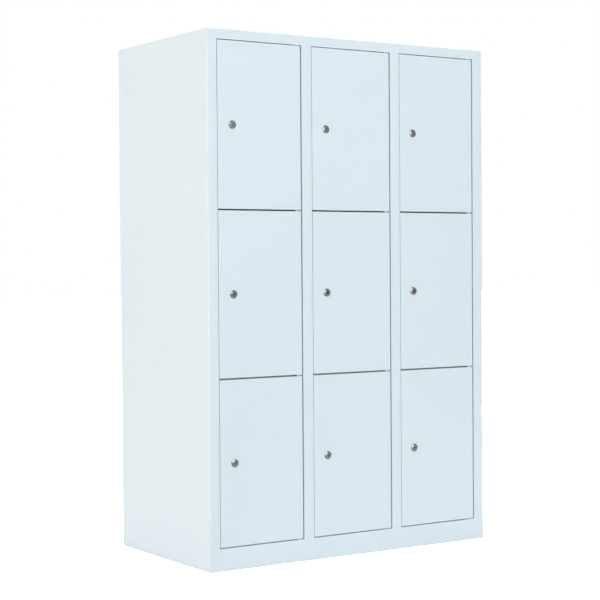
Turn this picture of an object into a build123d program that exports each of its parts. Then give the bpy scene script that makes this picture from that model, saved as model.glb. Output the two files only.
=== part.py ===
from build123d import *
import os

# Compartment locker of folded sheet steel: columns of inset doors in one flush front.
# X runs to the right along the front, Y into the depth and Z up, in millimetres.
# The origin is the middle of the footprint, on the floor.

# Overall size
width = 1166.0
depth = 640.0
height = 1800.0

# Front frame
column_names = ["left", "centre", "right"]
row_names = ["top", "middle", "bottom"]
left_stile_width = 38.0
right_stile_width = 44.0  # wider, as it carries the hinges
post_width = 41.0
top_rail_height = 32.0
bottom_rail_height = 77.0

# Sheet and folds of the carcass
sheet = 0.8
bend_radius = 1.0  # inside radius of a fold
corner_radius = 4.0  # outside radius of the vertical front corners
stop_width = 12.0  # lip that the door closes against, on its lock side
hinge_return = 16.0  # depth of a post's edge on the hinge side
hinge_lip = 10.0  # fold behind that edge on the right-hand stile
rear_flange = 20.0
partition_flange = 15.0
rail_upstand = 15.0
web_setback = 0.4  # of what stands behind the top rail
plinth_downstand = 20.0
foot_flange = 20.0
top_side_flange = 15.0

# Gaps round a door
lock_side_gap = 1.5
hinge_side_gap = 4.5
top_gap = 2.4
row_gap = 5.0
bottom_gap = 3.0

# Door
door_sheet = 1.0
door_depth = 18.0
door_return = 12.0  # lip folded inwards round the back of the door
mitre_gap = 0.6  # open joint between two lips, in each corner
stiffener_width = 40.0
stiffener_foot = 15.0
stiffener_depth = 9.0
stiffener_end_gap = 0.5

# Door stop buffers
buffer_diameter = 10.0
buffer_thickness = 2.5
buffer_chamfer = 0.8
buffer_clearance = 0.3
buffer_end_distance = 90.0  # from the door's top and bottom edges

# Pivot hinges
pivot_inset = 18.0  # from the hinge-side edge of the opening
pivot_depth = 9.0  # behind the front
pin_diameter = 5.0
pin_engagement = 9.0  # how far a pin reaches past the edge of a door
pin_tail = 2.0  # how far an end pin stands out of the rail or the sill
pin_clearance = 0.05
pin_chamfer = 0.5
plate_thickness = 2.0
plate_eye_diameter = 12.0
plate_neck_width = 6.0
bush_diameter = 8.0
bush_length = 5.0  # sleeve inside the door
bush_running_clearance = 0.08
collar_diameter = 12.0
collar_gap = 0.25

# Shelves
shelf_flange = 20.0
shelf_setback = 1.0  # behind the stop lips and the swing of the doors' hinge edges
floor_flange = 20.0

# Cam locks
lock_inset = 58.0  # from the lock-side edge of the opening
rosette_diameter = 28.0
rosette_height = 3.6
rosette_edge = 1.0
rosette_face_diameter = 15.0
barrel_diameter = 19.0
barrel_flats = 16.0
hole_clearance = 0.2
nut_across_flats = 24.0
nut_thickness = 4.0
plug_diameter = 13.0
plug_clearance = 0.05
plug_recess = 0.4
keyway_width = 2.4
keyway_height = 9.0
keyway_depth = 12.0
stub_side = 7.0
stub_clearance = 0.1
stub_recess = 0.3
cam_thickness = 2.5
cam_hub_diameter = 20.0
cam_width = 14.0
cam_tip_round = 4.0
cam_clearance = 0.8  # behind the stop lip
cam_overlap = 9.0  # how far the turned cam reaches behind the stop lip
barrel_end_gap = 0.3
screw_diameter = 4.0
screw_length = 9.0
screw_head_diameter = 10.0
screw_head_height = 2.5
screw_head_chamfer = 0.6
screw_slot_length = 5.0  # of each bar of the cross recess in its head
screw_slot_width = 1.2
screw_slot_depth = 1.3

overrun = 1.0  # how far a cut runs past the faces it opens

# Places worked out from the sizes above
front = -depth / 2
rear = depth / 2
left = -width / 2
right = width / 2
column_count = len(column_names)
row_count = len(row_names)
posts_width = (column_count - 1) * post_width
opening_width = (width - left_stile_width - right_stile_width - posts_width) / column_count
opening_bottom = bottom_rail_height
opening_top = height - top_rail_height
door_width = opening_width - lock_side_gap - hinge_side_gap
door_stack = opening_top - opening_bottom - top_gap - bottom_gap
door_height = (door_stack - (row_count - 1) * row_gap) / row_count
stop_depth = door_depth + buffer_clearance + buffer_thickness
frame_depth = stop_depth + sheet
stop_y = front + stop_depth
frame_back_y = front + frame_depth
web_front = frame_back_y + web_setback
panel_back = rear - sheet
panel_front = panel_back - sheet
panel_top = height - sheet - bend_radius
floor_back = panel_front - bend_radius
shelf_back = floor_back - sheet
pivot_y = front + pivot_depth
swing_depth = max(pivot_depth, door_depth - pivot_depth)
swing_radius = Vector(pivot_inset - hinge_side_gap, swing_depth).length
shelf_front = max(frame_back_y, pivot_y + swing_radius) + shelf_setback
cam_front = frame_depth + cam_clearance
barrel_length = cam_front - barrel_end_gap
cam_length = lock_inset - stop_width + cam_overlap


def column_left(column):
    """Lock-side edge of a column's opening."""
    return left + left_stile_width + column * (opening_width + post_width)


def column_right(column):
    """Hinge-side edge of a column's opening."""
    return column_left(column) + opening_width


def web_left(column):
    """Left face of the partition on the right of a column."""
    return column_right(column) + (post_width - sheet) / 2


def bay_left(column):
    """Inside of the panel on the left of a column."""
    return left + sheet if column == 0 else web_left(column - 1) + sheet


def bay_right(column):
    """Inside of the panel on the right of a column."""
    return right - sheet if column == column_count - 1 else web_left(column)


def door_bottom(row):
    """Lower edge of the doors in a row, counted from the top."""
    return opening_bottom + bottom_gap + (row_count - 1 - row) * (door_height + row_gap)


def door_top(row):
    return door_bottom(row) + door_height


def lock_place(column, row):
    """X and Z of a lock: beside the door's free edge, halfway up."""
    return column_left(column) + lock_inset, door_bottom(row) + door_height / 2


def block(x0, x1, y0, y1, z0, z1):
    """Box between two corners."""
    middle = Pos((x0 + x1) / 2, (y0 + y1) / 2, (z0 + z1) / 2)
    return middle * Box(abs(x1 - x0), abs(y1 - y0), abs(z1 - z0))


def upright(x, y, z0, z1, diameter):
    """Vertical cylinder between two heights."""
    return Pos(x, y, (z0 + z1) / 2) * Cylinder(diameter / 2, z1 - z0)


def folded(path, thickness, side, radii=None):
    """Section of a folded sheet. The path is one face of the sheet, and side says where
    the metal lies along it: 1 for its left, -1 for its right. radii gives inside radii by
    the number of the fold, None for a sharp one, and the others have the usual radius."""
    points = [Vector(*point) for point in path]
    runs = [(b - a).normalized() for a, b in zip(points, points[1:])]
    normals = [Vector(-run.Y, run.X) * side for run in runs]
    steps = [normals[0]]
    for a, b in zip(normals, normals[1:]):
        steps.append((a + b) / (1 + a.dot(b)))
    steps.append(normals[-1])
    offset = [point + step * thickness for point, step in zip(points, steps)]
    section = Sketch() + make_face(Polyline(*points, *reversed(offset), close=True))
    for number in range(1, len(points) - 1):
        inside = (radii or {}).get(number, bend_radius)
        if inside is None:
            continue
        turn = runs[number - 1].cross(runs[number]).Z * side
        inner, outer = (offset, points) if turn > 0 else (points, offset)
        for corner, radius in ((inner[number], inside), (outer[number], inside + thickness)):
            near = section.vertices().sort_by_distance(corner)[0]
            section = fillet(near, radius)
    return section


def risen(section, z0, z1):
    """Plan section extruded between two heights."""
    return extrude(Pos(0, 0, z0) * section, z1 - z0, dir=(0, 0, 1))


def run_across(section, x0, x1):
    """Section drawn in Y and Z, extruded from one X to another."""
    return extrude(Pos(x0, 0, 0) * (Plane.YZ * section), x1 - x0, dir=(1, 0, 0))


def left_side():
    """Outer panel, front stile, door edge and stop lip folded from one sheet."""
    edge = column_left(0)
    corner = {1: corner_radius - sheet}
    upper = [(edge, front), (left, front), (left, rear), (left + rear_flange, rear)]
    lower = [(edge + stop_width, stop_y), (edge, stop_y)] + upper
    stile = risen(folded(lower, sheet, -1, {3: corner_radius - sheet}), opening_bottom, opening_top)
    head = risen(folded(upper, sheet, -1, corner), opening_top, height)
    return side_foot(left, 1) + stile + head


def right_side():
    """Outer panel and front stile, with the narrow edge that carries the hinges."""
    edge = column_right(column_count - 1)
    corner = {1: corner_radius - sheet}
    upper = [(edge, front), (right, front), (right, rear), (right - rear_flange, rear)]
    back = front + hinge_return
    lower = [(edge + hinge_lip, back), (edge, back)] + upper
    stile = risen(folded(lower, sheet, 1, {3: corner_radius - sheet}), opening_bottom, opening_top)
    head = risen(folded(upper, sheet, 1, corner), opening_top, height)
    return side_foot(right, -1) + stile + head


def side_foot(outside, inwards):
    """Lowest stretch of an outer panel, behind the plinth, with the flange it stands on."""
    skin = front + sheet
    path = [(outside, skin), (outside, rear), (outside + inwards * rear_flange, rear)]
    web = risen(folded(path, sheet, -inwards), 0, opening_bottom)
    inner = outside + inwards * sheet
    tip = outside + inwards * foot_flange
    return web + block(inner, tip, front + foot_flange, panel_back, 0, sheet)


def partition(column):
    """Upright panel on the right of a column, with the front post folded on it."""
    hinge_edge = column_right(column)
    lock_edge = column_left(column + 1)
    web = web_left(column)
    back = front + hinge_return
    tail = [(web, panel_front), (web + partition_flange, panel_front)]
    post = [
        (lock_edge + stop_width, stop_y),
        (lock_edge, stop_y),
        (lock_edge, front),
        (hinge_edge, front),
        (hinge_edge, back),
        (web, back),
    ]
    lower = risen(folded(post + tail, sheet, -1), opening_bottom, opening_top)
    upper = risen(folded([(web, web_front)] + tail, sheet, -1), opening_top, panel_top)
    return lower + upper


def top_panel():
    """Roof, front rail and rear flange in one sheet, with a flange down each side."""
    rail = [
        (frame_back_y, opening_top + rail_upstand),
        (frame_back_y, opening_top),
        (front, opening_top),
        (front, height),
        (rear, height),
        (rear, height - rear_flange),
    ]
    section = folded(rail, sheet, -1, {2: None, 3: None})
    rail_left = left + left_stile_width
    rail_right = right - right_stile_width
    roof = run_across(section, rail_left, rail_right)
    for outside, inwards, strip_end in ((left, 1, rail_left), (right, -1, rail_right)):
        wall = outside + inwards * sheet
        strip = block(wall, strip_end, front + sheet, panel_back, height - sheet, height)
        corners = strip.edges().filter_by(Axis.Z).sort_by_distance((outside, 0, height))[:2]
        roof += fillet(corners, corner_radius)
        low = height - top_side_flange
        roof += block(wall, wall + inwards * sheet, web_front, floor_back, low, height - sheet)
    for column in range(column_count):
        roof -= pin_hole(column, opening_top - overrun, opening_top + sheet + overrun)
    return roof


def plinth():
    """Flush bottom rail with the sill above it and a foot flange under it."""
    path = [
        (front + foot_flange, 0),
        (front, 0),
        (front, opening_bottom),
        (frame_back_y, opening_bottom),
        (frame_back_y, opening_bottom - plinth_downstand),
    ]
    rail = run_across(folded(path, sheet, -1, {2: None}), left, right)
    behind_skin = (front + sheet, frame_back_y + overrun, -overrun, opening_bottom + overrun)
    for outside, inwards in ((left, 1), (right, -1)):
        rail -= block(outside - inwards * overrun, outside + inwards * sheet, *behind_skin)
    for column in range(column_count):
        rail -= pin_hole(column, opening_bottom - sheet - overrun, opening_bottom + overrun)
    return rail


def tray(x0, x1, y0, y1, top, flange):
    """Sheet with all four edges folded down, as the shelves and the floor are."""
    outer = block(x0, x1, y0, y1, top - flange, top)
    outer = fillet(outer.faces().sort_by(Axis.Z)[-1].edges(), bend_radius + sheet)
    wall = (x0 + sheet, x1 - sheet, y0 + sheet, y1 - sheet)
    hollow = block(*wall, top - flange, top - sheet)
    hollow = fillet(hollow.faces().sort_by(Axis.Z)[-1].edges(), bend_radius)
    return outer - hollow - block(*wall, top - flange - overrun, top - flange)


def floor_panel():
    """Tray under the lowest compartments, level with the sill."""
    return tray(left + sheet, right - sheet, frame_back_y, floor_back, opening_bottom, floor_flange)


def rear_panel():
    """Flat back, inside the rear flanges and clear of their folds."""
    side = sheet + bend_radius
    return block(left + side, right - side, panel_front, panel_back, sheet, panel_top)


def shelves(column):
    """Shelves of a column, each behind the gap between two doors."""
    group = []
    for row in range(row_count - 1):
        level = door_bottom(row) - row_gap / 2
        x0, x1 = bay_left(column), bay_right(column)
        group.append(tray(x0, x1, shelf_front, shelf_back, level, shelf_flange))
    return group


def pivot_x(column):
    return column_right(column) - pivot_inset


def pin_hole(column, z0, z1):
    """Cut for a hinge pin."""
    return upright(pivot_x(column), pivot_y, z0, z1, pin_diameter + 2 * pin_clearance)


def hinge_plates():
    """Plate on the post in each gap between two doors, with an eye round the pivot."""
    group = []
    for column in range(column_count):
        for row in range(row_count - 1):
            middle = door_bottom(row) - row_gap / 2
            low = middle - plate_thickness / 2
            high = middle + plate_thickness / 2
            x = pivot_x(column)
            neck = block(x, column_right(column), pivot_y, pivot_y + plate_neck_width, low, high)
            plate = neck + upright(x, pivot_y, low, high, plate_eye_diameter)
            group.append(plate - pin_hole(column, low - overrun, high + overrun))
    return group


def pin_levels():
    """Lowest and highest point of each hinge pin of a column, from the sill up."""
    levels = [(opening_bottom - sheet - pin_tail, door_bottom(row_count - 1) + pin_engagement)]
    for row in reversed(range(row_count - 1)):
        levels.append((door_top(row + 1) - pin_engagement, door_bottom(row) + pin_engagement))
    levels.append((door_top(0) - pin_engagement, opening_top + sheet + pin_tail))
    return levels


def hinge_pins():
    """Fixed steel pins that the doors turn on."""
    group = []
    for column in range(column_count):
        for low, high in pin_levels():
            pin = upright(pivot_x(column), pivot_y, low, high, pin_diameter)
            group.append(chamfer(pin.edges(), pin_chamfer))
    return group


def bush(column, seat, edge, up):
    """Nylon bush on a pin. Its collar lies on the seat, and its sleeve enters the door
    through the edge, upwards where up is 1 and downwards where it is -1."""
    x = pivot_x(column)
    collar_end = edge - up * collar_gap
    tip = edge + up * bush_length
    collar = upright(x, pivot_y, min(seat, collar_end), max(seat, collar_end), collar_diameter)
    sleeve = upright(x, pivot_y, min(seat, tip), max(seat, tip), bush_diameter)
    low = min(seat, tip) - overrun
    high = max(seat, tip) + overrun
    return collar + sleeve - pin_hole(column, low, high)


def hinge_bushes():
    """One bush below and one above every door."""
    group = []
    for column in range(column_count):
        for row in range(row_count):
            half_plate = (row_gap - plate_thickness) / 2
            below = opening_bottom if row == row_count - 1 else door_bottom(row) - half_plate
            above = opening_top if row == 0 else door_top(row) + half_plate
            group.append(bush(column, below, door_bottom(row), 1))
            group.append(bush(column, above, door_top(row), -1))
    return group


def door_buffers():
    """Rubber discs on the stop lips, two behind the free edge of every door."""
    group = []
    for column in range(column_count):
        for row in range(row_count):
            for z in (door_bottom(row) + buffer_end_distance, door_top(row) - buffer_end_distance):
                disc = Cylinder(buffer_diameter / 2, buffer_thickness)
                disc = chamfer(disc.edges().sort_by(Axis.Z)[0], buffer_chamfer)
                place = Pos(column_left(column) + stop_width / 2, stop_y - buffer_thickness / 2, z)
                group.append(place * Rot(-90, 0, 0) * disc)
    return group


def door(column, row):
    """Pan folded from one sheet, with a lip all round its back, a hole for the lock and
    one in each end for the hinge bushes."""
    x0 = column_left(column) + lock_side_gap
    x1 = x0 + door_width
    z0, z1 = door_bottom(row), door_top(row)
    back = front + door_depth
    shell = block(x0, x1, front, back, z0, z1)
    shell = fillet(shell.faces().sort_by(Axis.Y)[0].edges(), bend_radius + door_sheet)
    t = door_sheet
    hollow = block(x0 + t, x1 - t, front + t, back - t, z0 + t, z1 - t)
    hollow = fillet(hollow.faces().sort_by(Axis.Y)[0].edges(), bend_radius)
    lip = door_return
    window = block(x0 + lip, x1 - lip, back - t - overrun, back + overrun, z0 + lip, z1 - lip)
    pan = shell - hollow - window - lock_hole(column, row)
    for x, z, lean in ((x0, z0, -45), (x1, z0, 45), (x1, z1, -45), (x0, z1, 45)):
        pan -= Pos(x, back + (overrun - t) / 2, z) * Rot(0, lean, 0) * mitre()
    socket = bush_diameter + 2 * bush_running_clearance
    for end in (z0, z1):
        pan -= upright(pivot_x(column), pivot_y, end - t - overrun, end + t + overrun, socket)
    return pan


def mitre():
    """Cut between two lips, lying along X with its middle on the door's corner."""
    reach = Vector(door_return, door_return).length + overrun
    return Box(2 * reach, door_sheet + overrun, mitre_gap)


def lock_hole(column, row):
    """Cut in the face of a door: the barrel's outline, flats and all."""
    x, z = lock_place(column, row)
    hole = Cylinder(barrel_diameter / 2 + hole_clearance, door_sheet + 2 * overrun)
    wide = barrel_diameter + 2 * overrun
    hole &= Box(barrel_flats + 2 * hole_clearance, wide, door_sheet + 2 * overrun)
    return Pos(x, front + door_sheet / 2, z) * Rot(-90, 0, 0) * hole


def stiffener(column, row):
    """Hat section up the middle of a door, on the back of its face."""
    middle = column_left(column) + lock_side_gap + door_width / 2
    face = front + door_sheet
    crown = face + stiffener_depth
    half = stiffener_width / 2
    foot = half + stiffener_foot
    path = [
        (middle - foot, face),
        (middle - half, face),
        (middle - half, crown),
        (middle + half, crown),
        (middle + half, face),
        (middle + foot, face),
    ]
    inset = door_sheet + bend_radius + stiffener_end_gap
    return risen(folded(path, sheet, 1), door_bottom(row) + inset, door_top(row) - inset)


def lock_case(column, row):
    """Conical rosette and barrel in one casting, and the nut that holds it in the door."""
    bore = plug_diameter / 2
    rim = rosette_diameter / 2
    flat = rosette_face_diameter / 2
    barrel = barrel_diameter / 2
    section = Polyline(
        (flat, -rosette_height),
        (rim, -rosette_edge),
        (rim, 0),
        (barrel, 0),
        (barrel, barrel_length),
        (bore, barrel_length),
        (bore, -rosette_height),
        close=True,
    )
    case = revolve(make_face(section), Axis.Y)
    for side in (-1, 1):
        flat_x = side * barrel_flats / 2
        case -= block(flat_x, flat_x + side * barrel, 0, barrel_length + overrun, -barrel, barrel)
    nut = extrude(RegularPolygon(nut_across_flats / 2, 6, major_radius=False), nut_thickness)
    nut -= Pos(0, 0, nut_thickness / 2) * Cylinder(barrel + pin_clearance, nut_thickness + overrun)
    x, z = lock_place(column, row)
    place = Pos(x, front, z)
    return [place * case, place * Pos(0, door_sheet, 0) * Rot(-90, 0, 0) * nut]


def plug(column, row):
    """Turning core of a lock: keyway in front, square stub for the cam behind."""
    face = rosette_height - plug_recess
    core_end = cam_front
    core = Cylinder(plug_diameter / 2 - plug_clearance, face + core_end)
    core = Pos(0, 0, (core_end - face) / 2) * core
    stub_length = cam_thickness - stub_recess
    core += Pos(0, 0, core_end + stub_length / 2) * Box(stub_side, stub_side, stub_length)
    core -= Pos(0, 0, keyway_depth / 2 - face) * Box(keyway_width, keyway_height, keyway_depth)
    tapped = screw_length + overrun
    end = core_end + stub_length
    core -= Pos(0, 0, end - tapped / 2) * Cylinder(screw_diameter / 2 + pin_clearance, tapped)
    x, z = lock_place(column, row)
    return Pos(x, front, z) * Rot(-90, 0, 0) * core


def cam(column, row):
    """Flat cam, hanging down while the lock is open, and the screw that holds it."""
    hub = Circle(cam_hub_diameter / 2)
    arm = Pos(0, cam_length / 2) * Rectangle(cam_width, cam_length)
    arm = fillet(arm.vertices().sort_by(Axis.Y)[-2:], cam_tip_round)
    hole = stub_side + 2 * stub_clearance
    bar = extrude(hub + arm - Rectangle(hole, hole), cam_thickness)
    head = Pos(0, 0, cam_thickness + screw_head_height / 2)
    screw = head * Cylinder(screw_head_diameter / 2, screw_head_height)
    screw = chamfer(screw.edges().sort_by(Axis.Z)[-1], screw_head_chamfer)
    slot_place = Pos(0, 0, cam_thickness + screw_head_height - screw_slot_depth / 2)
    for slot in ((screw_slot_length, screw_slot_width), (screw_slot_width, screw_slot_length)):
        screw -= slot_place * Box(*slot, screw_slot_depth)
    reach = screw_length + stub_recess
    screw += Pos(0, 0, cam_thickness - reach / 2) * Cylinder(screw_diameter / 2, reach)
    x, z = lock_place(column, row)
    place = Pos(x, front + cam_front, z) * Rot(-90, 0, 0)
    return [place * bar, place * screw]


def save(name, shapes):
    """One file for a node, with each of its pieces as a solid of its own."""
    group = shapes if isinstance(shapes, list) else [shapes]
    solids = [solid for shape in group for solid in shape.solids()]
    whole = solids[0] if len(solids) == 1 else Compound(children=solids)
    export_step(whole, os.path.join("parts", name + ".step"))


os.makedirs("parts", exist_ok=True)
save("left_side", left_side())
save("right_side", right_side())
save("top_panel", top_panel())
save("plinth", plinth())
save("floor_panel", floor_panel())
save("rear_panel", rear_panel())
save("hinge_plates", hinge_plates())
save("hinge_pins", hinge_pins())
save("hinge_bushes", hinge_bushes())
save("door_buffers", door_buffers())
for column, column_name in enumerate(column_names):
    save("shelves_" + column_name, shelves(column))
    if column < column_count - 1:
        save("partition_" + column_name, partition(column))
    for row, row_name in enumerate(row_names):
        place_name = row_name + "_" + column_name
        save("door_" + place_name, door(column, row))
        save("stiffener_" + place_name, stiffener(column, row))
        save("lock_" + place_name, lock_case(column, row))
        save("plug_" + place_name, plug(column, row))
        save("cam_" + place_name, cam(column, row))
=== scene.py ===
import math
import bmesh
import bpy
from mathutils import Euler, Matrix, Vector


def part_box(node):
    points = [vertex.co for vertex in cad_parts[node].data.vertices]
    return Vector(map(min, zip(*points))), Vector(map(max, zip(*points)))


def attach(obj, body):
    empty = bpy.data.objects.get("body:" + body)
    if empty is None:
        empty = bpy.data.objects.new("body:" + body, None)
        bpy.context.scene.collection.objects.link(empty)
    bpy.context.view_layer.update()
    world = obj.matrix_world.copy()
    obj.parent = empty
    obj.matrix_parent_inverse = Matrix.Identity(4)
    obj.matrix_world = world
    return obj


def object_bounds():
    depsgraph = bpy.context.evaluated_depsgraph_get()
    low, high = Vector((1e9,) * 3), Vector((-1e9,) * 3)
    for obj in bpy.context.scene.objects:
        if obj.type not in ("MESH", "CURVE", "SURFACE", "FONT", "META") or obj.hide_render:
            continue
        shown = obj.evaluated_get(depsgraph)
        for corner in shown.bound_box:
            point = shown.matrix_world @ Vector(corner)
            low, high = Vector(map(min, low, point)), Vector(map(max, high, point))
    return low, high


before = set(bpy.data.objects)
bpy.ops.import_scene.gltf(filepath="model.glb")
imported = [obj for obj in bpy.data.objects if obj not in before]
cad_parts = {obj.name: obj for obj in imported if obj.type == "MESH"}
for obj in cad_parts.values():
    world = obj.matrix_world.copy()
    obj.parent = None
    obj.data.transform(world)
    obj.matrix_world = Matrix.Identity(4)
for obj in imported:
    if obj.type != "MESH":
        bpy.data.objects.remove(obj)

# Compartment locker in pale blue-white powder coat, on a white floor. Lengths are in metres.

cad_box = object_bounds()

# Camera
camera_place = (-3.1858, -4.8527, 1.0258)
camera_yaw = 33.171
camera_pitch = -1.340
camera_roll = -0.404
camera_lens = 95.03
camera_sensor = 36.0

# Stage and light
floor_size = 80.0
floor_colour = 0.99
floor_mirrored_colour = 1.3  # in reflections, so that they show it white
floor_seen_colour = 2.8  # to the camera, so that the open floor is white and the shadow stays
floor_far_colour = 40.0  # the same where the lamps no longer reach
floor_near = 3.5  # distances from the object between which it passes into the other
floor_far = 12.0
world_level = 0.06
world_tint = (0.97, 0.99, 1.0)
backdrop_level = 1.0
backdrop_colour = (1.0, 1.0, 1.0)
object_middle = Vector((0.0, 0.0, 0.9))
lamps = {
    # name: direction from the object, distance, side, power, colour
    "key": ((0.07, -0.96, 0.21), 7.0, 4.8, 233.0, (0.92, 0.98, 1.0)),
    "side": ((-0.99, 0.0, 0.14), 6.0, 4.0, 231.0, (1.0, 0.96, 0.92)),
    "top": ((0.0, -0.26, 0.97), 6.0, 4.0, 175.0, (1.0, 1.0, 1.0)),
    "back": ((0.62, 0.70, 0.34), 6.0, 4.0, 225.0, (0.97, 0.99, 1.0)),
}

# Octaves of the noises, and the range in which nearly all of a noise lies
few_octaves = 1.0
usual_octaves = 2.0
more_octaves = 3.0
most_octaves = 4.0
noise_range = (0.3, 0.7)

# Powder coat. Scales of noise are in cells per metre, here and below
paint_colour = (0.735, 0.815, 0.868)
tone_change = 0.014  # share by which the paint's tone moves either way
cloud_scale = 2.5  # slow changes of tone
speck_scale = 700.0
gloss_scale = 9.0  # slow changes of gloss
peel_scale = 420.0
peel_depth = 0.0003
coat_roughness = (0.37, 0.46)
coat_specular = 0.4
edge_round = 0.0003  # of the coat over the sheets' edges
metal_edge_round = 0.00015
edge_samples = 4

# Spot welds
weld_pitch = 0.12
weld_radius = 0.0032
weld_flat_share = 0.6  # of a mark's radius, inside which its bottom is flat
weld_depth = 0.0007
rear_flange = 0.020
partition_flange = 0.015
stop_width = 0.012
shelf_flange = 0.020
weld_zone = 0.004  # depth at the rear in which the seams lie
stiffener_foot = 0.015

# Where hands touch a door, round its lock
touch_radius = 0.075
touch_shine = 0.09
touch_patch_scale = 70.0

# Metals, nylon and rubber: darker and lighter tone
nickel_tones = ((0.180, 0.176, 0.172), (0.215, 0.210, 0.205))
zinc_tones = ((0.30, 0.31, 0.32), (0.38, 0.385, 0.395))
brass_tones = ((0.42, 0.31, 0.14), (0.58, 0.45, 0.22))
nylon_tones = ((0.82, 0.83, 0.82), (0.88, 0.89, 0.88))
rubber_tones = ((0.035, 0.035, 0.036), (0.075, 0.075, 0.075))
metal_cloud_scale = 260.0
moulded_cloud_scale = 180.0

# Finish of the metals: its roughness, and its grain's cells per metre along each axis and depth
lock_polish = {"roughness": (0.08, 0.13), "grain": (1500.0, 1500.0, 90.0), "grain_depth": 0.000004}
cam_finish = {"roughness": (0.30, 0.44), "grain": (1800.0, 1800.0, 110.0), "grain_depth": 0.00001}
pin_finish = {"roughness": (0.30, 0.44), "grain": (160.0, 160.0, 2200.0), "grain_depth": 0.00001}
wafer_finish = {"roughness": (0.25, 0.38), "grain": (900.0, 900.0, 90.0), "grain_depth": 0.000005}

# Finish of the lock plugs: rings left by turning, and scratches from keys
plug_roughness = (0.12, 0.22)
plug_cloud_scale = 500.0
ring_scale = 5200.0
ring_depth = 0.000008
scratch_scales = (4200.0, 300.0, 260.0)
scratch_depth = 0.000006

# Finish of nylon and rubber
nylon_finish = {"roughness": (0.38, 0.52), "grain_scale": 1400.0, "grain_depth": 0.00002}
rubber_finish = {"roughness": (0.62, 0.82), "grain_scale": 1700.0, "grain_depth": 0.00005}

# Painted shade in the keyways: the metal's tone darkens with depth behind the plug's face
keyway_shade_start = 0.0001  # depths behind the plug's face between which the metal grows dark
keyway_shade_end = 0.0009
keyway_shade_share = 0.22  # of the metal's tone that it leaves

# Thread on the locks' barrels
barrel_half_width = 0.008  # across its flats
thread_root = 0.00945
thread_crest = 0.0098
thread_pitch = 0.0015
thread_steps = 20  # along each round side of the barrel
thread_end_turns = 0.5  # without thread, at the barrel's end
nut_back = 0.005  # behind the door's face

# Wafers in the keyways
keyway_half_width = 0.0012
keyway_half_height = 0.0045
wafer_reaches = (0.0031, 0.0024, 0.0036, 0.0027, 0.0033)
wafer_first = 0.0026  # depth of the first one behind the plug's face
wafer_pitch = 0.0017
wafer_thickness = 0.0006
wafer_round = 0.0004


def middle(node):
    low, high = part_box(node)
    return (low + high) / 2


def vector_to(direction):
    return Vector(direction).normalized()


def wire(tree, value, socket):
    """Feeds a socket from a node's output, or sets it to a number or colour."""
    if isinstance(value, bpy.types.NodeSocket):
        tree.links.new(value, socket)
    else:
        socket.default_value = value


def add_node(tree, kind, **values):
    """Node of a kind, with its properties and inputs set by name."""
    node = tree.nodes.new(kind)
    for name, value in values.items():
        if hasattr(node, name):
            setattr(node, name, value)
        else:
            wire(tree, value, node.inputs[name.replace("_", " ")])
    return node


def calculate(tree, operation, *values):
    """Result of a math node, of numbers and of other nodes' outputs."""
    node = add_node(tree, "ShaderNodeMath", operation=operation)
    for value, socket in zip(values, node.inputs):
        wire(tree, value, socket)
    return node.outputs[0]


def new_material(name):
    """Node material with its tree and shader."""
    material = bpy.data.materials.new(name)
    material.use_nodes = True
    tree = material.node_tree
    return material, tree, tree.nodes["Principled BSDF"]


def place_on_object(tree):
    """Coordinates in metres, in the part's own frame."""
    return add_node(tree, "ShaderNodeTexCoord").outputs["Object"]


def place_in_box(tree, node):
    """Coordinates in metres from the middle of a node's box, for all nodes of its size."""
    low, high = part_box(node)
    share = add_node(tree, "ShaderNodeTexCoord").outputs["Generated"]
    centred = add_node(tree, "ShaderNodeVectorMath", operation="SUBTRACT")
    wire(tree, share, centred.inputs[0])
    centred.inputs[1].default_value = (1 / 2, 1 / 2, 1 / 2)
    scaled = add_node(tree, "ShaderNodeVectorMath", operation="MULTIPLY")
    wire(tree, centred.outputs[0], scaled.inputs[0])
    scaled.inputs[1].default_value = high - low
    return scaled.outputs[0]


def place_in_lock(tree):
    """Coordinates in metres from the middle of a lock's case."""
    return place_in_box(tree, "lock_top_left")


def stretched(tree, place, factors):
    """Coordinates scaled along each axis, for grain that runs one way."""
    node = add_node(tree, "ShaderNodeVectorMath", operation="MULTIPLY")
    wire(tree, place, node.inputs[0])
    node.inputs[1].default_value = factors
    return node.outputs[0]


def noise(tree, place, scale=1.0, octaves=usual_octaves):
    node = add_node(tree, "ShaderNodeTexNoise", Vector=place, Scale=scale, Detail=octaves)
    return node.outputs["Fac"]


def spread(tree, value, low, high):
    """Takes the usual range of a noise to a range of its own."""
    start, end = noise_range
    node = add_node(tree, "ShaderNodeMapRange", Value=value, From_Min=start, From_Max=end, To_Min=low,
                    To_Max=high)
    return node.outputs["Result"]


def toned(tree, value, tones):
    """Colour between a darker and a lighter tone, by a noise."""
    node = add_node(tree, "ShaderNodeValToRGB")
    for stop, position, tone in zip(node.color_ramp.elements, noise_range, tones):
        stop.position = position
        stop.color = (*tone, 1.0)
    wire(tree, value, node.inputs["Fac"])
    return node.outputs["Color"]


def rounded_edges(tree, radius):
    """Normal of a surface with its edges rounded."""
    return add_node(tree, "ShaderNodeBevel", samples=edge_samples, Radius=radius).outputs["Normal"]


def bumped(tree, height, depth, normal=None):
    """Normal of a surface whose height is a noise or a mark, of that depth."""
    node = add_node(tree, "ShaderNodeBump", Height=height, Distance=depth, Strength=1.0)
    if normal:
        wire(tree, normal, node.inputs["Normal"])
    return node.outputs["Normal"]


def flat_distance(tree, x, z):
    """Distance in the front's plane, from a step along X and a step along Z."""
    step = add_node(tree, "ShaderNodeCombineXYZ", X=x, Z=z)
    length = add_node(tree, "ShaderNodeVectorMath", operation="LENGTH")
    wire(tree, step.outputs[0], length.inputs[0])
    return length.outputs["Value"]


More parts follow.
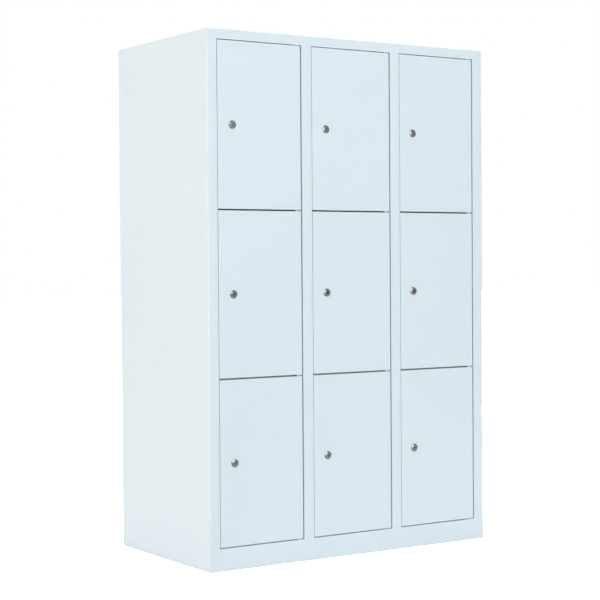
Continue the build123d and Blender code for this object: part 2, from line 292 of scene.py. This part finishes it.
def weld_marks(tree, place, upright, level, start):
    """Height of spot weld dimples, 0 in them and 1 elsewhere. They follow upright seams
    at some X and level ones at some Z, on what lies further back than the start."""
    at = add_node(tree, "ShaderNodeSeparateXYZ", Vector=place).outputs
    half = weld_pitch / 2
    repeat_x = calculate(tree, "WRAP", at["X"], half, -half)
    repeat_z = calculate(tree, "WRAP", at["Z"], half, -half)
    nearest = 1.0
    for x in upright:
        mark = flat_distance(tree, calculate(tree, "SUBTRACT", at["X"], x), repeat_z)
        nearest = calculate(tree, "MINIMUM", mark, nearest)
    for z in level:
        mark = flat_distance(tree, repeat_x, calculate(tree, "SUBTRACT", at["Z"], z))
        nearest = calculate(tree, "MINIMUM", mark, nearest)
    rim = add_node(tree, "ShaderNodeMapRange", interpolation_type="SMOOTHSTEP", Value=nearest,
                   From_Min=weld_radius * weld_flat_share, From_Max=weld_radius)
    before = calculate(tree, "LESS_THAN", at["Y"], start)
    return calculate(tree, "MAXIMUM", rim.outputs["Result"], before)


def touched(tree, roughness):
    """Roughness of a door with the faint shine round its lock that hands leave."""
    door, lock = "door_top_left", "plug_top_left"
    offset = middle(lock) - middle(door)
    at = add_node(tree, "ShaderNodeSeparateXYZ", Vector=place_in_box(tree, door)).outputs
    x = calculate(tree, "SUBTRACT", at["X"], offset.x)
    z = calculate(tree, "SUBTRACT", at["Z"], offset.z)
    near = add_node(tree, "ShaderNodeMapRange", interpolation_type="SMOOTHSTEP",
                    Value=flat_distance(tree, x, z), From_Max=touch_radius, To_Min=touch_shine,
                    To_Max=0.0)
    patches = noise(tree, place_on_object(tree), touch_patch_scale, most_octaves)
    shine = calculate(tree, "MULTIPLY", near.outputs["Result"], patches)
    return calculate(tree, "SUBTRACT", roughness, shine)


def powder_coat(name, welds=None, handled=False):
    """Satin powder coat: fine orange peel, specks, slow changes of tone and gloss."""
    material, tree, shader = new_material(name)
    place = place_on_object(tree)
    cloud = noise(tree, place, cloud_scale, more_octaves)
    speck = noise(tree, place, speck_scale, few_octaves)
    tone = calculate(tree, "MULTIPLY", calculate(tree, "ADD", cloud, speck), 1 / 2)
    tones = [[channel * (1 + side * tone_change) for channel in paint_colour] for side in (-1, 1)]
    wire(tree, toned(tree, tone, tones), shader.inputs["Base Color"])
    roughness = spread(tree, noise(tree, place, gloss_scale, most_octaves), *coat_roughness)
    if handled:
        roughness = touched(tree, roughness)
    wire(tree, roughness, shader.inputs["Roughness"])
    shader.inputs["Specular IOR Level"].default_value = coat_specular
    normal = bumped(tree, noise(tree, place, peel_scale), peel_depth, rounded_edges(tree, edge_round))
    if welds:
        normal = bumped(tree, weld_marks(tree, place, *welds), weld_depth, normal)
    wire(tree, normal, shader.inputs["Normal"])
    return material


def carcass_welds():
    """Seams at the carcass's back: its flanges, the partitions' and the shelves'."""
    low, high = cad_box
    flange = rear_flange / 2
    upright = [low[0] + flange, high[0] - flange]
    level = [high[2] - flange]
    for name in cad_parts:
        start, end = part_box(name)
        if name.startswith("partition_"):
            web = (start.x + end.x - stop_width) / 2
            upright.append(web + partition_flange / 2)
        elif name.startswith("shelves_left"):
            level += [end.z - shelf_flange / 2, start.z + shelf_flange / 2]
    return upright, level, high[1] - weld_zone


def stiffener_welds():
    """Seams along the feet of the doors' stiffeners."""
    upright = []
    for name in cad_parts:
        if name.startswith("stiffener_top_"):
            start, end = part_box(name)
            upright += [start.x + stiffener_foot / 2, end.x - stiffener_foot / 2]
    return upright, [], cad_box[0][1]


def metal(name, tones, place, roughness, grain, grain_depth):
    """Plated metal with a fine grain in its polish and slow changes of tone."""
    material, tree, shader = new_material(name)
    where = place(tree)
    shader.inputs["Metallic"].default_value = 1.0
    cloud = noise(tree, where, metal_cloud_scale, most_octaves)
    streaks = noise(tree, stretched(tree, where, grain))
    wire(tree, toned(tree, cloud, tones), shader.inputs["Base Color"])
    wire(tree, spread(tree, streaks, *roughness), shader.inputs["Roughness"])
    normal = bumped(tree, streaks, grain_depth, rounded_edges(tree, metal_edge_round))
    wire(tree, normal, shader.inputs["Normal"])
    return material


def turned_metal(name, tones, roughness):
    """Lock plug: rings left by turning, fine scratches across them from keys, and painted shade in
    its keyway, where its tone darkens with depth behind the face."""
    material, tree, shader = new_material(name)
    where = place_in_box(tree, "plug_top_left")
    at = add_node(tree, "ShaderNodeSeparateXYZ", Vector=where).outputs
    radius = flat_distance(tree, at["X"], at["Z"])
    rings = add_node(tree, "ShaderNodeTexNoise", noise_dimensions="1D", W=radius, Scale=ring_scale,
                     Detail=few_octaves)
    scratches = noise(tree, stretched(tree, where, scratch_scales))
    shader.inputs["Metallic"].default_value = 1.0
    half_length = middle("plug_top_left").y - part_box("plug_top_left")[0].y
    behind_face = calculate(tree, "ADD", at["Y"], half_length)
    # Painted shade: the plug's colour is scaled down with depth into the keyway
    keyway_shading = add_node(tree, "ShaderNodeMapRange", Value=behind_face, From_Min=keyway_shade_start,
                     From_Max=keyway_shade_end, To_Min=1.0, To_Max=keyway_shade_share)
    colour = add_node(tree, "ShaderNodeVectorMath", operation="SCALE", Scale=keyway_shading.outputs["Result"])
    cloud = noise(tree, where, plug_cloud_scale, more_octaves)
    wire(tree, toned(tree, cloud, tones), colour.inputs[0])
    wire(tree, colour.outputs[0], shader.inputs["Base Color"])
    wire(tree, spread(tree, scratches, *roughness), shader.inputs["Roughness"])
    normal = bumped(tree, rings.outputs["Fac"], ring_depth)
    wire(tree, bumped(tree, scratches, scratch_depth, normal), shader.inputs["Normal"])
    return material


def moulded(name, tones, roughness, grain_scale, grain_depth):
    """Moulded plastic or rubber with a fine grain."""
    material, tree, shader = new_material(name)
    place = place_on_object(tree)
    grain = noise(tree, place, grain_scale, more_octaves)
    cloud = noise(tree, place, moulded_cloud_scale, most_octaves)
    wire(tree, toned(tree, cloud, tones), shader.inputs["Base Color"])
    wire(tree, spread(tree, grain, *roughness), shader.inputs["Roughness"])
    wire(tree, bumped(tree, grain, grain_depth), shader.inputs["Normal"])
    return material


def dress(slots, nodes):
    """Each CAD node gets the material of its slot in the record, or of its name's start."""
    for name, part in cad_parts.items():
        own = [material for start, material in nodes.items() if name.startswith(start)]
        for place in part.material_slots:
            place.material = own[0] if own else slots[place.material.name]


def add_piece(name, shape, body, material):
    """Piece made of a finished bmesh, riding on a body."""
    bmesh.ops.recalc_face_normals(shape, faces=shape.faces)
    mesh = bpy.data.meshes.new(name)
    shape.to_mesh(mesh)
    shape.free()
    mesh.materials.append(material)
    piece = bpy.data.objects.new(name, mesh)
    bpy.context.scene.collection.objects.link(piece)
    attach(piece, body)


def thread_section(shape, axis, start, angle):
    """Three corners of the thread where it has turned through an angle."""
    y = start + thread_pitch * angle / math.tau
    half = thread_pitch / 2
    corners = []
    for radius, offset in ((thread_root, -half), (thread_crest, 0.0), (thread_root, half)):
        around = Vector((radius * math.cos(angle), 0.0, radius * math.sin(angle)))
        along = Vector((0.0, y + offset, 0.0))
        corners.append(shape.verts.new(Vector((axis.x, 0.0, axis.z)) + around + along))
    return corners


def add_thread(name, material):
    """Turns of the thread on both round sides of a lock's barrel, behind its nut."""
    axis = middle("plug_" + name)
    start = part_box("door_" + name)[0].y + nut_back
    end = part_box("lock_" + name)[1].y
    turns = int((end - start) / thread_pitch - thread_end_turns)
    flat = math.acos(barrel_half_width / thread_crest)
    sweep = math.pi - 2 * flat
    shape = bmesh.new()
    for half_turn in range(1, 2 * turns):
        angles = [flat + sweep * step / thread_steps for step in range(thread_steps + 1)]
        rings = [thread_section(shape, axis, start, half_turn * math.pi + angle) for angle in angles]
        for a, b in zip(rings, rings[1:]):
            for corner in range(len(a)):
                shape.faces.new((a[corner - 1], a[corner], b[corner], b[corner - 1]))
        shape.faces.new(rings[0])
        shape.faces.new(rings[-1])
    add_piece("thread_" + name, shape, "door_" + name, material)


def wafer_outline(reach, side):
    """Tab as wide as the keyway, from its top or bottom, with its free corners cut off."""
    wall = side * keyway_half_height
    tip = side * (keyway_half_height - reach)
    shoulder = side * (keyway_half_height - reach + wafer_round)
    w = keyway_half_width
    t = keyway_half_width - wafer_round
    return [(-w, wall), (w, wall), (w, shoulder), (t, tip), (-t, tip), (-w, shoulder)]


def add_wafers(name, material):
    """Wafer tumblers that show in a keyway, from its top and its bottom in turn."""
    low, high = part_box("plug_" + name)
    axis = (low + high) / 2
    shape = bmesh.new()
    for number, reach in enumerate(wafer_reaches):
        front = low.y + wafer_first + number * wafer_pitch
        outline = wafer_outline(reach, (-1) ** number)
        layers = []
        for y in (front, front + wafer_thickness):
            layers.append([shape.verts.new((axis.x + x, y, axis.z + z)) for x, z in outline])
        for layer in layers:
            shape.faces.new(layer)
        for corner in range(len(outline)):
            near, far = layers
            shape.faces.new((near[corner - 1], near[corner], far[corner], far[corner - 1]))
    add_piece("wafers_" + name, shape, "core_" + name, material)


def make_camera():
    data = bpy.data.cameras.new("camera")
    data.lens = camera_lens
    data.sensor_width = camera_sensor
    turn = Euler((0, 0, math.radians(-camera_yaw))).to_matrix()
    turn @= Euler((math.radians(90 + camera_pitch), 0, 0)).to_matrix()
    turn @= Euler((0, 0, math.radians(camera_roll))).to_matrix()
    camera = bpy.data.objects.new("camera", data)
    camera.matrix_world = Matrix.Translation(camera_place) @ turn.to_4x4()
    bpy.context.scene.collection.objects.link(camera)
    bpy.context.scene.camera = camera


def make_lamps():
    for name, (direction, distance, side, power, colour) in lamps.items():
        data = bpy.data.lights.new(name, "AREA")
        data.shape = "SQUARE"
        data.size = side
        data.energy = power
        data.color = colour
        lamp = bpy.data.objects.new(name, data)
        lamp.location = object_middle + vector_to(direction) * distance
        lamp.rotation_euler = vector_to(direction).to_track_quat("Z", "Y").to_euler()
        bpy.context.scene.collection.objects.link(lamp)


def seen_directly(tree):
    """1 where the eye, a reflection or a view through glass meets the surface."""
    path = add_node(tree, "ShaderNodeLightPath")
    total = path.outputs["Is Camera Ray"]
    for other in ("Is Glossy Ray", "Is Transmission Ray"):
        total = calculate(tree, "MAXIMUM", total, path.outputs[other])
    return total


def make_world():
    world = bpy.data.worlds.new("studio")
    world.use_nodes = True
    tree = world.node_tree
    light = tree.nodes["Background"]
    light.inputs["Color"].default_value = (*world_tint, 1.0)
    light.inputs["Strength"].default_value = world_level
    white = add_node(tree, "ShaderNodeBackground", Color=(*backdrop_colour, 1.0),
                     Strength=backdrop_level)
    mix = add_node(tree, "ShaderNodeMixShader")
    for source, socket in zip((seen_directly(tree), light.outputs[0], white.outputs[0]), mix.inputs):
        wire(tree, source, socket)
    wire(tree, mix.outputs[0], tree.nodes["World Output"].inputs["Surface"])
    bpy.context.scene.world = world


def make_floor():
    """Diffuse floor, paler to the eye and in reflections than to the light it scatters."""
    material, tree, shader = new_material("floor")
    path = add_node(tree, "ShaderNodeLightPath").outputs
    mirrored = calculate(tree, "MAXIMUM", path["Is Glossy Ray"], path["Is Transmission Ray"])
    level = calculate(tree, "MULTIPLY_ADD", mirrored, floor_mirrored_colour - floor_colour,
                      floor_colour)
    away = add_node(tree, "ShaderNodeVectorMath", operation="LENGTH")
    wire(tree, place_on_object(tree), away.inputs[0])
    seen = add_node(tree, "ShaderNodeMapRange", Value=away.outputs["Value"], From_Min=floor_near,
                    From_Max=floor_far, To_Min=floor_seen_colour, To_Max=floor_far_colour)
    level = calculate(tree, "MULTIPLY_ADD", path["Is Camera Ray"], seen.outputs["Result"], level)
    diffuse = add_node(tree, "ShaderNodeBsdfDiffuse", Color=level)
    wire(tree, diffuse.outputs[0], tree.nodes["Material Output"].inputs["Surface"])
    tree.nodes.remove(shader)
    bpy.ops.mesh.primitive_plane_add(size=floor_size)
    floor = bpy.context.object
    floor.name = "floor"
    floor.data.materials.append(material)


def make_materials():
    """Materials of the record's slots, and those of nodes that need one of their own."""
    slots = {
        "carcass_paint": powder_coat("carcass_powder_coat", carcass_welds()),
        "door_paint": powder_coat("door_powder_coat", handled=True),
        "lock_nickel": metal("lock_metal", nickel_tones, place_in_lock, **lock_polish),
        "cam_steel": metal("cam_zinc", zinc_tones, place_on_object, **cam_finish),
        "hinge_steel": metal("hinge_zinc", zinc_tones, place_on_object, **pin_finish),
        "hinge_nylon": moulded("hinge_nylon_white", nylon_tones, **nylon_finish),
        "buffer_rubber": moulded("buffer_rubber_black", rubber_tones, **rubber_finish),
    }
    nodes = {
        "stiffener_": powder_coat("stiffener_powder_coat", stiffener_welds()),
        "plug_": turned_metal("plug_metal", nickel_tones, plug_roughness),
    }
    return slots, nodes


bpy.context.scene.view_settings.view_transform = "Standard"
make_camera()
make_world()
make_lamps()
make_floor()
slots, nodes = make_materials()
dress(slots, nodes)
brass = metal("wafer_brass", brass_tones, place_on_object, **wafer_finish)
for plug in [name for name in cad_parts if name.startswith("plug_")]:
    compartment = plug.removeprefix("plug_")
    add_thread(compartment, slots["lock_nickel"])
    add_wafers(compartment, brass)
